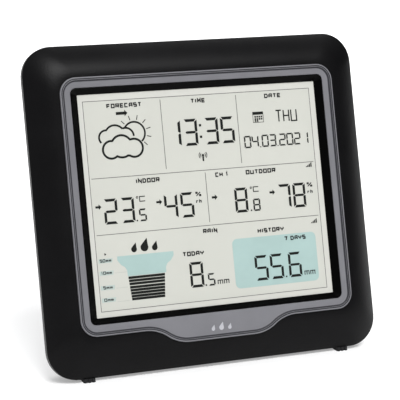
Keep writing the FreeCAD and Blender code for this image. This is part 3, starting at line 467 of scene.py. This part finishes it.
def ribbon(path, width, low, high, closed=False):
    """A flat line of constant width along a path, with mitred corners."""
    count = len(path)
    sharpest = 0.35
    points, faces = [], []
    for item in range(count):
        before = path[item - 1] if closed or item else None
        after = path[(item + 1) % count] if closed or item < count - 1 else None
        here = Vector(path[item])
        into = (here - Vector(before)).normalized() if before else (Vector(after) - here).normalized()
        out = (Vector(after) - here).normalized() if after else into
        normal = Vector((-(into + out).y, (into + out).x)).normalized()
        reach = width / 2 / max(sharpest, normal.dot(Vector((-into.y, into.x))))
        left, right = here + normal * reach, here - normal * reach
        corners = ((left, low), (right, low), (right, high), (left, high))
        points += [(side.x, -height, side.y) for side, height in corners]
    for item in range(count if closed else count - 1):
        near, far = item * 4, ((item + 1) % count) * 4
        for corner in range(4):
            other = (corner + 1) % 4
            faces.append((near + corner, near + other, far + other, far + corner))
    if not closed:
        last = (count - 1) * 4
        faces += [(0, 1, 2, 3), (last + 3, last + 2, last + 1, last)]
    return points, faces


class Artwork:
    """Plates of one material between two heights, collected into one piece."""

    def __init__(self, name, material, low, high, slot, body="case"):
        self.name, self.material = name, material
        self.low, self.high = low, high
        self.slot, self.body = slot, body
        self.points, self.faces = [], []

    def add(self, solid):
        points, faces = solid
        start = len(self.points)
        self.points += points
        self.faces += [tuple(start + item for item in face) for face in faces]

    def plate(self, outline):
        self.add(prism(outline, self.low, self.high))

    def line(self, path, width, closed=False):
        self.add(ribbon(path, width, self.low, self.high, closed))

    def done(self):
        make_piece(
            self.name, self.points, self.faces, self.material, self.slot, self.body, crease=20.0
        )


def on_display(name, material, layer):
    """Artwork in one of the layers on the display."""
    low = DISPLAY_HEIGHT + LAYER_STEP * layer
    return Artwork(name, material, low, low + INK_THICKNESS, "display_film")


def circle_path(x, z, radius, start, end, steps):
    return [(px, pz) for px, pz, _, _ in arc_points(x, z, radius, start, end, steps)]


def dot(art, x, z, size):
    half = size / 2
    art.plate(rectangle(x - half, x + half, z - half, z + half))


def arrow(art, x, z, length, shaft, head):
    """A solid arrow to the right from its tail; shaft and head are half widths."""
    tip, neck = x + length, x + length - head
    art.plate([
        (x, z - shaft), (neck, z - shaft), (neck, z - head), (tip, z),
        (neck, z + head), (neck, z + shaft), (x, z + shaft),
    ])


def drop_outline(x, z, height):
    """A leaning raindrop: a round belly with its point up to the right."""
    radius = height * 0.31
    lean = radius * 0.75
    belly = circle_path(x, z + radius, radius, 20, -215, 22)
    return [(x + lean, z + height)] + belly


def rounded_outline(left, right, bottom, top, radius):
    corners = (
        (right - radius, bottom + radius, -90),
        (right - radius, top - radius, 0),
        (left + radius, top - radius, 90),
        (left + radius, bottom + radius, 180),
    )
    outline = []
    for x, z, start in corners:
        outline += circle_path(x, z, radius, start, start + 90, 6)
    return outline


# ---------------------------------------------------------------- figures and letters


SEGMENTS = {
    "0": "abcdef", "1": "bc", "2": "abged", "3": "abgcd", "4": "fgbc",
    "5": "afgcd", "6": "afgcde", "7": "abc", "8": "abcdefg", "9": "abfgcd",
}
SEGMENT_GAP, SMALL_GAP = 0.09, 0.05


def seven_segments(art, text, left, bottom, width, height, stroke, gap=SEGMENT_GAP):
    """One figure drawn with mitred segments: a on top, b to f clockwise, g across the middle."""
    right, top, middle = left + width, bottom + height, bottom + height / 2
    clip, half = stroke * 0.32, stroke / 2
    waist = half * 0.9

    def level(edge, inward):
        """The top or bottom segment."""
        return [
            (left + clip + gap, edge), (right - clip - gap, edge),
            (right - stroke - gap, edge + inward * stroke), (left + stroke + gap, edge + inward * stroke),
        ]

    def upright(edge, inward, end, to_middle):
        """A segment at the left or right edge, from the top or bottom end to the middle."""
        return [
            (edge, end + to_middle * (clip + gap)),
            (edge + inward * stroke, end + to_middle * (stroke + gap)),
            (edge + inward * stroke, middle - to_middle * (half + gap)),
            (edge + inward * clip, middle - to_middle * gap),
            (edge, middle - to_middle * (clip + gap)),
        ]

    shapes = {
        "a": level(top, -1),
        "b": upright(right, -1, top, -1),
        "c": upright(right, -1, bottom, 1),
        "d": level(bottom, 1),
        "e": upright(left, 1, bottom, 1),
        "f": upright(left, 1, top, -1),
        "g": [
            (left + half + gap, middle), (left + stroke + gap, middle + waist),
            (right - stroke - gap, middle + waist), (right - half - gap, middle),
            (right - stroke - gap, middle - waist), (left + stroke + gap, middle - waist),
        ],
    }
    for segment in SEGMENTS[text]:
        art.plate(shapes[segment])


# Strokes of each letter in a box one wide and one high.
BOX = [(0, 0), (0, 1), (1, 1), (1, 0), (0, 0)]
LETTERS = {
    "A": [[(0, 0), (0, 0.75), (0.25, 1), (1, 1), (1, 0)], [(0, 0.42), (1, 0.42)]],
    "C": [[(1, 1), (0, 1), (0, 0), (1, 0)]],
    "D": [[(0, 0), (0, 1), (0.75, 1), (1, 0.75), (1, 0.25), (0.75, 0), (0, 0)]],
    "E": [[(1, 1), (0, 1), (0, 0), (1, 0)], [(0, 0.5), (0.9, 0.5)]],
    "F": [[(0, 0), (0, 1), (1, 1)], [(0, 0.5), (0.9, 0.5)]],
    "H": [[(0, 0), (0, 1)], [(1, 0), (1, 1)], [(0, 0.5), (1, 0.5)]],
    "I": [[(0.5, 0), (0.5, 1)]],
    "M": [[(0, 0), (0, 1), (0.5, 0.45), (1, 1), (1, 0)]],
    "N": [[(0, 0), (0, 1), (1, 0), (1, 1)]],
    "O": [BOX],
    "R": [[(0, 0), (0, 1), (1, 1), (1, 0.45), (0, 0.45)], [(0.5, 0.45), (1, 0)]],
    "S": [[(1, 1), (0, 1), (0, 0.5), (1, 0.5), (1, 0), (0, 0)]],
    "T": [[(0, 1), (1, 1)], [(0.5, 0), (0.5, 1)]],
    "U": [[(0, 1), (0, 0), (1, 0), (1, 1)]],
    "Y": [[(0, 1), (0, 0.6), (0.5, 0.4), (1, 0.6), (1, 1)], [(0.5, 0), (0.5, 0.4)]],
    "0": [BOX],
    "1": [[(0.2, 0.8), (0.5, 1), (0.5, 0)]],
    "5": [[(1, 1), (0, 1), (0, 0.55), (1, 0.55), (1, 0), (0, 0)]],
    "7": [[(0, 1), (1, 1), (0.6, 0)]],
    "m": [[(0, 0), (0, 0.62), (0.5, 0.62), (0.5, 0)], [(0.5, 0.62), (1, 0.62), (1, 0)]],
    "r": [[(0, 0), (0, 0.62), (0.8, 0.62)]],
    "h": [[(0, 0), (0, 1)], [(0, 0.62), (0.9, 0.62), (0.9, 0)]],
    "%": [
        [(0.1, 0), (0.9, 1)],
        [(0, 0.7), (0, 1), (0.28, 1), (0.28, 0.7), (0, 0.7)],
        [(0.72, 0), (0.72, 0.3), (1, 0.3), (1, 0), (0.72, 0)],
    ],
    ">": [[(0.2, 1), (0.9, 0.5), (0.2, 0)]],
    " ": [],
}
NARROW = {"I": 0.45, "1": 0.6, " ": 0.55}
LETTER_SPACE = 0.17


def lettering(art, text, centre, level, width, height, stroke):
    """Plain line lettering, its middle at centre and level, fitted to a total width."""
    spans = [NARROW.get(letter, 1.0) for letter in text]
    unit = width / (sum(spans) + LETTER_SPACE * (len(text) - 1))
    x = centre - width / 2 + stroke / 2
    low = level - height / 2 + stroke / 2
    for letter, span in zip(text, spans):
        inner_width, inner_height = unit * span - stroke, height - stroke
        for strokes in LETTERS[letter]:
            path = [(x + across * inner_width, low + up * inner_height) for across, up in strokes]
            if path[0] == path[-1]:
                art.line(path[:-1], stroke, closed=True)
            else:
                art.line(path, stroke)
        x += unit * (span + LETTER_SPACE)


# ---------------------------------------------------------------- display


def display_face():
    """The active area of the display and the paler margin round it, out under the well."""
    low, high = DISPLAY_HEIGHT - 0.15, DISPLAY_HEIGHT
    active = rectangle(*ACTIVE_AREA)
    make_piece("display_active", *prism(active, low, high), "display_film", slot="display_film")
    outer = rectangle(-62.9, 62.9, -51.6, 55.4)
    rings = [ring_at(outer, low), ring_at(outer, high), ring_at(active, high), ring_at(active, low)]
    make_piece(
        "display_margin", *tube_of_rings(rings), "display_margin", slot="display_film",
        replaced=["display_polariser"],
    )


def display_lines():
    """The frame round the active area and the lines between its fields."""
    art = on_display("display_lines", "display_line", 1)
    left, right, bottom, top = -57.75, 57.75, -47.2, 50.5
    thin = 0.32
    upper, lower = 14.5, -11.8
    art.line(rectangle(left, right, bottom, top), thin, closed=True)
    for level in (upper, lower):
        art.line([(left + 1, level), (right - 1, level)], thin)
    for place in (-19.6, 19.0):
        art.line([(place, top - 1.1), (place, upper + 2)], thin)
    art.line([(-0.2, upper - 1.1), (-0.2, lower + 1.4)], thin)
    art.done()


def display_tints():
    """The teal field and funnel, the pale patches of the rain scale, and its leader lines."""
    art = on_display("display_tints", "display_teal", 1)
    art.plate(rounded_outline(10.2, 54.1, -43.3, -19.5, 2.5))
    funnel_middle = -33.85
    left = [(-47.8, -22.3), (-47.8, -24.2), (-46.2, -26.4), (-44.4, -27.6), (-43.5, -29.2), (-43.4, -31.9)]
    art.plate(left + [(2 * funnel_middle - x, z) for x, z in reversed(left)])
    art.done()
    pale = on_display("display_scale", "display_pale", 1)
    for level in (-23.8, -29.5, -36.3, -42.0):
        pale.plate([(-57.0, level - 1.0), (-50.4, level - 1.0), (-50.0, level + 1.0), (-57.0, level + 1.0)])
    pale.done()
    faint = on_display("display_leaders", "display_faint", 1)
    for level in (-29.8, -36.9, -43.2):
        faint.line([(-49.6, level), (-43.8, level)], 0.16)
    faint.done()


def display_labels():
    """Generic names of the fields, their units and the rain scale's steps."""
    art = on_display("display_labels", "display_label", 4)
    headings = (
        ("FORECAST", -37.7, 47.8, 17.3), ("TIME", -0.6, 47.8, 7.4), ("DATE", 38.2, 48.0, 8.7),
        ("INDOOR", -29.4, 11.9, 11.9), ("CH 1", 8.1, 11.9, 6.5), ("OUTDOOR", 28.4, 11.9, 15.6),
        ("RAIN", -0.4, -14.4, 7.3), ("HISTORY", 30.8, -16.7, 13.8), ("7 DAYS", 43.1, -21.6, 11.4),
        ("TODAY", -10.0, -24.4, 10.8),
    )
    for text, x, z, width in headings:
        lettering(art, text, x, z, width, height=2.15, stroke=0.56)
    units = (
        ("%", -4.7, 3.5, 2.9, 2.2), ("rh", -4.7, 0.1, 2.9, 2.0),
        ("%", 53.5, 3.5, 2.9, 2.2), ("rh", 53.5, 0.1, 2.9, 2.0),
        ("mm", 4.0, -38.6, 6.0, 3.3), ("mm", 49.4, -38.6, 5.8, 3.3),
    )
    for text, x, z, width, height in units:
        lettering(art, text, x, z, width, height, stroke=0.45)
    for x in (-32.9, 25.0):
        celsius = [(x + 1.4, 4.6), (x - 1.3, 4.6), (x - 1.3, 2.4), (x + 1.4, 2.4)]
        degree = circle_path(x - 2.5, 4.3, 0.42, 0, 330, 10)
        art.line(celsius, 0.42)
        art.line(degree, 0.34)
    scale_middle = -53.6
    scale = (("50mm", -23.7, 5.6), ("10mm", -29.4, 5.2), ("5mm", -36.2, 4.6), ("0mm", -41.9, 4.6))
    for text, z, width in scale:
        lettering(art, text, scale_middle, z, width, height=1.5, stroke=0.33)
    lettering(art, ">", scale_middle, -20.8, width=1.2, height=1.3, stroke=0.5)
    art.done()


def display_figures():
    """The clock, date, weekday, temperatures, humidities and rain amounts."""
    art = on_display("display_figures", "display_ink", 4)
    clock = (-17.6, -9.1, 1.6, 9.8)
    for text, x in zip("1335", clock):
        seven_segments(art, text, x, 26.6, width=6.95, height=12.7, stroke=1.32)
    for z in (36.0, 30.5):
        dot(art, -0.6, z, 1.15)
    date = (21.3, 25.25, 30.5, 34.5, 39.6, 43.55, 47.5, 51.6)
    for text, x in zip("04032021", date):
        seven_segments(art, text, x, 23.4, width=3.6, height=5.9, stroke=0.72, gap=SMALL_GAP)
    for x in (29.65, 38.8):
        dot(art, x, 23.6, 0.5)
    climate = (-52.1, -43.8, -22.2, -14.0, 13.7, 36.4, 44.3)
    for text, x in zip("2345878", climate):
        seven_segments(art, text, x, -7.1, width=6.65, height=11.8, stroke=1.24)
    rain = (-12.6, 20.9, 28.9, 38.5)
    for text, x in zip("8556", rain):
        seven_segments(art, text, x, -40.5, width=6.85, height=12.0, stroke=1.24)
    tenths = (("5", -35.1, -7.0, 3.7), ("8", 23.0, -7.0, 3.7), ("5", -3.7, -40.4, 3.6))
    for text, x, z, width in tenths:
        seven_segments(art, text, x, z, width, height=5.9, stroke=0.78, gap=SMALL_GAP)
    points = ((-36.3, -6.5, 0.7), (21.8, -6.5, 0.7), (-4.9, -39.9, 0.75), (36.9, -39.9, 0.75))
    for x, z, size in points:
        dot(art, x, z, size)
    for letter, x in (("T", 39.15), ("H", 43.15), ("U", 47.15)):
        for strokes in LETTERS[letter]:
            art.line([(x + across * 2.8, 35.2 + up * 5.4) for across, up in strokes], 0.62)
    art.done()


def forecast_symbol(art):
    """A sun with seven rays behind two clouds, the farther one showing over the nearer."""
    sun_x, sun_z = -33.8, 34.5
    art.line(circle_path(sun_x, sun_z, 5.25, -50, 152, 36), 0.85)
    for number in range(7):
        angle = math.radians(135 - 30 * number)
        ray = [(sun_x + reach * math.cos(angle), sun_z + reach * math.sin(angle)) for reach in (6.3, 8.5)]
        art.line(ray, 0.38)
    back = circle_path(-47.8, 33.2, 3.45, 222, 86, 18) + circle_path(-43.4, 33.8, 4.95, 141, 38, 18)
    art.line(back, 0.9)
    art.line(circle_path(-38.1, 33.3, 3.9, 110, -2, 14), 0.9)
    front = circle_path(-40.6, 28.8, 5.1, 148, 34, 22) + circle_path(-34.5, 27.6, 4.25, 108, -125, 30)
    front += circle_path(-40.5, 28.6, 5.1, -60, -120, 10) + circle_path(-45.8, 27.4, 4.1, -52, -278, 30)
    art.line(front, 1.0, closed=True)


def rain_gauge(art):
    """Three raindrops over a stack of bars that narrows downwards."""
    for x, z, height in ((-39.2, -21.1, 4.5), (-34.0, -21.1, 6.2), (-28.9, -21.1, 4.5)):
        art.plate(drop_outline(x, z, height))
    top, taper = -32.7, 0.085
    for level in (top, -34.15, -35.6, -37.2, -38.6, -40.0, -41.4, -42.75):
        inset = taper * (top - level)
        art.plate(rectangle(-43.2 + inset, -25.1 - inset, level - 0.6, level + 0.58))


def calendar_symbol(art):
    """A calendar leaf: a solid head, a thin frame and rows of days."""
    art.plate(rectangle(26.9, 32.5, 39.2, 40.6))
    art.line([(27.0, 39.2), (27.0, 35.5), (32.4, 35.5), (32.4, 39.2)], 0.22)
    for level, days in ((38.2, 4), (37.1, 4), (36.2, 2)):
        for number in range(days):
            dot(art, 28.2 + 1.1 * number, level, 0.8)


def mast_symbol(art):
    """A radio mast with two waves on each side."""
    x, z = -0.5, 21.7
    art.line([(x, 18.9), (x, 21.6)], 0.8)
    art.plate(circle_path(x, z, 0.62, 0, 330, 12))
    for side in (0, 180):
        for radius in (1.25, 2.0):
            art.line(circle_path(x, z, radius, side - 42, side + 42, 8), 0.34)


def signal_steps(art, right, low):
    """Four bars that grow to the right, each with a slanted top."""
    for number in range(4):
        height = 2.3 - 0.55 * number
        edge = right - 0.85 * number
        art.plate([(edge - 0.62, low), (edge, low), (edge, low + height), (edge - 0.62, low + height - 0.5)])


def display_symbols():
    """Weather, rain, calendar, radio and trend symbols."""
    art = on_display("display_symbols", "display_ink", 4)
    arrow(art, -42.0, 44.15, length=5.7, shaft=0.68, head=1.5)
    for x in (-56.1, -26.1, 2.0, 32.0):
        arrow(art, x, 1.25, length=2.9, shaft=0.5, head=1.3)
    forecast_symbol(art)
    rain_gauge(art)
    calendar_symbol(art)
    mast_symbol(art)
    signal_steps(art, 55.6, 12.05)
    signal_steps(art, 55.6, -15.4)
    art.done()


# ---------------------------------------------------------------- marks on the case


def tab_mark():
    """Three plain raindrops printed on the trim's tab."""
    art = Artwork("tab_mark", "tab_print", BAND_HEIGHT, BAND_HEIGHT + 0.03, "grey_trim")
    for x, height in ((-4.5, 2.8), (-0.3, 3.8), (3.9, 2.8)):
        art.plate(drop_outline(x, -61.6, height))
    art.done()


def lamp_symbol(art, x, z):
    """A ring with eight rays."""
    art.line(circle_path(x, z, 0.8, 0, 345, 20), 0.3)
    for number in range(8):
        angle = math.radians(45 * number)
        ray = [(x + reach * math.cos(angle), z + reach * math.sin(angle)) for reach in (1.25, 1.9)]
        art.line(ray, 0.28)


def key_symbols():
    """Plain symbols beside the six keys: up, down and lamp; frame, waves and clock."""
    art = Artwork("key_symbols", "back_print", -BACK_DEPTH, -BACK_DEPTH - 0.04, "black_cover")
    half, away = 1.5, KEY_RADIUS + 3.6
    upper, middle, lower = KEY_LEVELS
    x = KEY_COLUMN - away
    art.plate([(x - half, upper - 0.9), (x + half, upper - 0.9), (x, upper + 1.4)])
    art.plate([(x - half, middle + 0.9), (x, middle - 1.4), (x + half, middle + 0.9)])
    lamp_symbol(art, x, lower)
    x = away - KEY_COLUMN
    art.line(rectangle(x - half, x + half, upper - 1.1, upper + 1.1), 0.3, closed=True)
    for radius in (0.7, 1.4, 2.1):
        art.line(circle_path(x, middle - 0.9, radius, 45, 135, 10), 0.3)
    art.line(circle_path(x, lower, half, 0, 345, 24), 0.3)
    art.line([(x, lower + 1.0), (x, lower), (x + 0.8, lower)], 0.26)
    art.done()


def door_arrow():
    """Raised arrow that shows which way the battery door comes off."""
    art = Artwork("door_arrow", "black_door", -BACK_DEPTH, -BACK_DEPTH - 0.3, "black_door", "battery_door")
    tip, neck, tail = 23.0, 25.5, 27.6
    head, shaft = 2.4, 1.2
    art.plate([
        (-head, neck), (0, tip), (head, neck), (shaft, neck), (shaft, tail), (-shaft, tail), (-shaft, neck),
    ])
    art.done()


def soften(names, width_mm):
    """Round the sharp edges of CAD nodes that stay in view."""
    for name in names:
        node = frame["nodes"][name]
        node.data.polygons.foreach_set("use_smooth", [True] * len(node.data.polygons))
        node.data.set_sharp_from_angle(angle=math.radians(30))
        bevel = node.modifiers.new("edge", "BEVEL")
        bevel.width = width_mm / MM_PER_METRE
        bevel.segments = 2
        bevel.limit_method = "ANGLE"
        bevel.angle_limit = math.radians(40)
        bevel.harden_normals = True


# ---------------------------------------------------------------- studio


def floor():
    """A plain pale floor, which glows a little so that it stays white in the soft light."""
    half = 8.0
    mesh = bpy.data.meshes.new("floor")
    mesh.from_pydata([(x, y, 0) for x, y in rectangle(-half, half, -half, half)], [], [(0, 1, 2, 3)])
    ground = bpy.data.objects.new("floor", mesh)
    bpy.context.scene.collection.objects.link(ground)
    material = surface("floor_pale", (0.7, 0.7, 0.7), 0.8, 5.0, 0.01, 0.01, 500.0, **PRINT)
    shader = material.node_tree.nodes["Principled BSDF"]
    shader.inputs["Emission Color"].default_value = (1, 1, 1, 1)
    shader.inputs["Emission Strength"].default_value = 0.34
    mesh.materials.append(material)


def sun(name, direction, strength, spread_degrees):
    """Light from one direction, given as the way towards the light."""
    data = bpy.data.lights.new(name, "SUN")
    data.energy = strength
    data.angle = math.radians(spread_degrees)
    lamp = bpy.data.objects.new(name, data)
    lamp.rotation_euler = Vector(direction).to_track_quat("Z", "Y").to_euler()
    bpy.context.scene.collection.objects.link(lamp)


def soft_box(name, place, size, power):
    """A square light at a place in metres, turned to the middle of the station."""
    data = bpy.data.lights.new(name, "AREA")
    data.size = size
    data.energy = power
    lamp = bpy.data.objects.new(name, data)
    lamp.location = place
    lamp.rotation_euler = (Vector((0, 0, 0.08)) - lamp.location).to_track_quat("-Z", "Y").to_euler()
    bpy.context.scene.collection.objects.link(lamp)


def room():
    """A dim room that is brightest overhead and a little to the left."""
    brightest = (-0.36, -0.1, 0.93)
    world = bpy.data.worlds.new("studio")
    world.use_nodes = True
    nodes, links = world.node_tree.nodes, world.node_tree.links
    background = nodes["Background"]
    background.inputs["Color"].default_value = (0.97, 0.98, 1.0, 1)
    place = nodes.new("ShaderNodeTexCoord")
    slant = nodes.new("ShaderNodeVectorMath")
    slant.operation = "DOT_PRODUCT"
    slant.inputs[1].default_value = brightest
    level = nodes.new("ShaderNodeMapRange")
    level.inputs["To Min"].default_value = 0.07
    level.inputs["To Max"].default_value = 0.65
    links.new(place.outputs["Generated"], slant.inputs[0])
    links.new(slant.outputs["Value"], level.inputs["Value"])
    links.new(level.outputs["Result"], background.inputs["Strength"])
    bpy.context.scene.world = world


def studio():
    """A large soft light from above in front, a soft box behind, and the room."""
    sun("key", (0.02, -0.6, 0.8), 2.75, 30)
    soft_box("rear_box", (0.5, 1.0, 0.9), 0.7, 12.0)
    room()
    bpy.context.scene.view_settings.view_transform = "Standard"


def camera():
    """A long lens in front of the station, well to its left and a little above it."""
    place = (-274.8, -714.8, -10.9)
    azimuth, elevation = 21.43, 12.79
    data = bpy.data.cameras.new("camera")
    data.lens, data.sensor_width = 144.0, 36
    data.clip_start, data.clip_end = 0.05, 20
    eye = bpy.data.objects.new("camera", data)
    eye.location = CASE @ Vector(place)
    eye.rotation_euler = (math.radians(90 - elevation), 0, math.radians(-azimuth))
    bpy.context.scene.collection.objects.link(eye)
    bpy.context.scene.camera = eye


front_frame()
trim_ring()
display_surround()
feet()
display_face()
display_lines()
display_tints()
display_labels()
display_figures()
display_symbols()
tab_mark()
key_symbols()
door_arrow()
KEYS = [name for name in frame["nodes"] if name.startswith("key_") and name != "key_switches"]
soften(["rear_cover", "battery_door", "stand_plate"], 0.35)
soften(KEYS, 0.3)
soften(["case_screws", "stand_tip_strip"], 0.1)
floor()
studio()
camera()
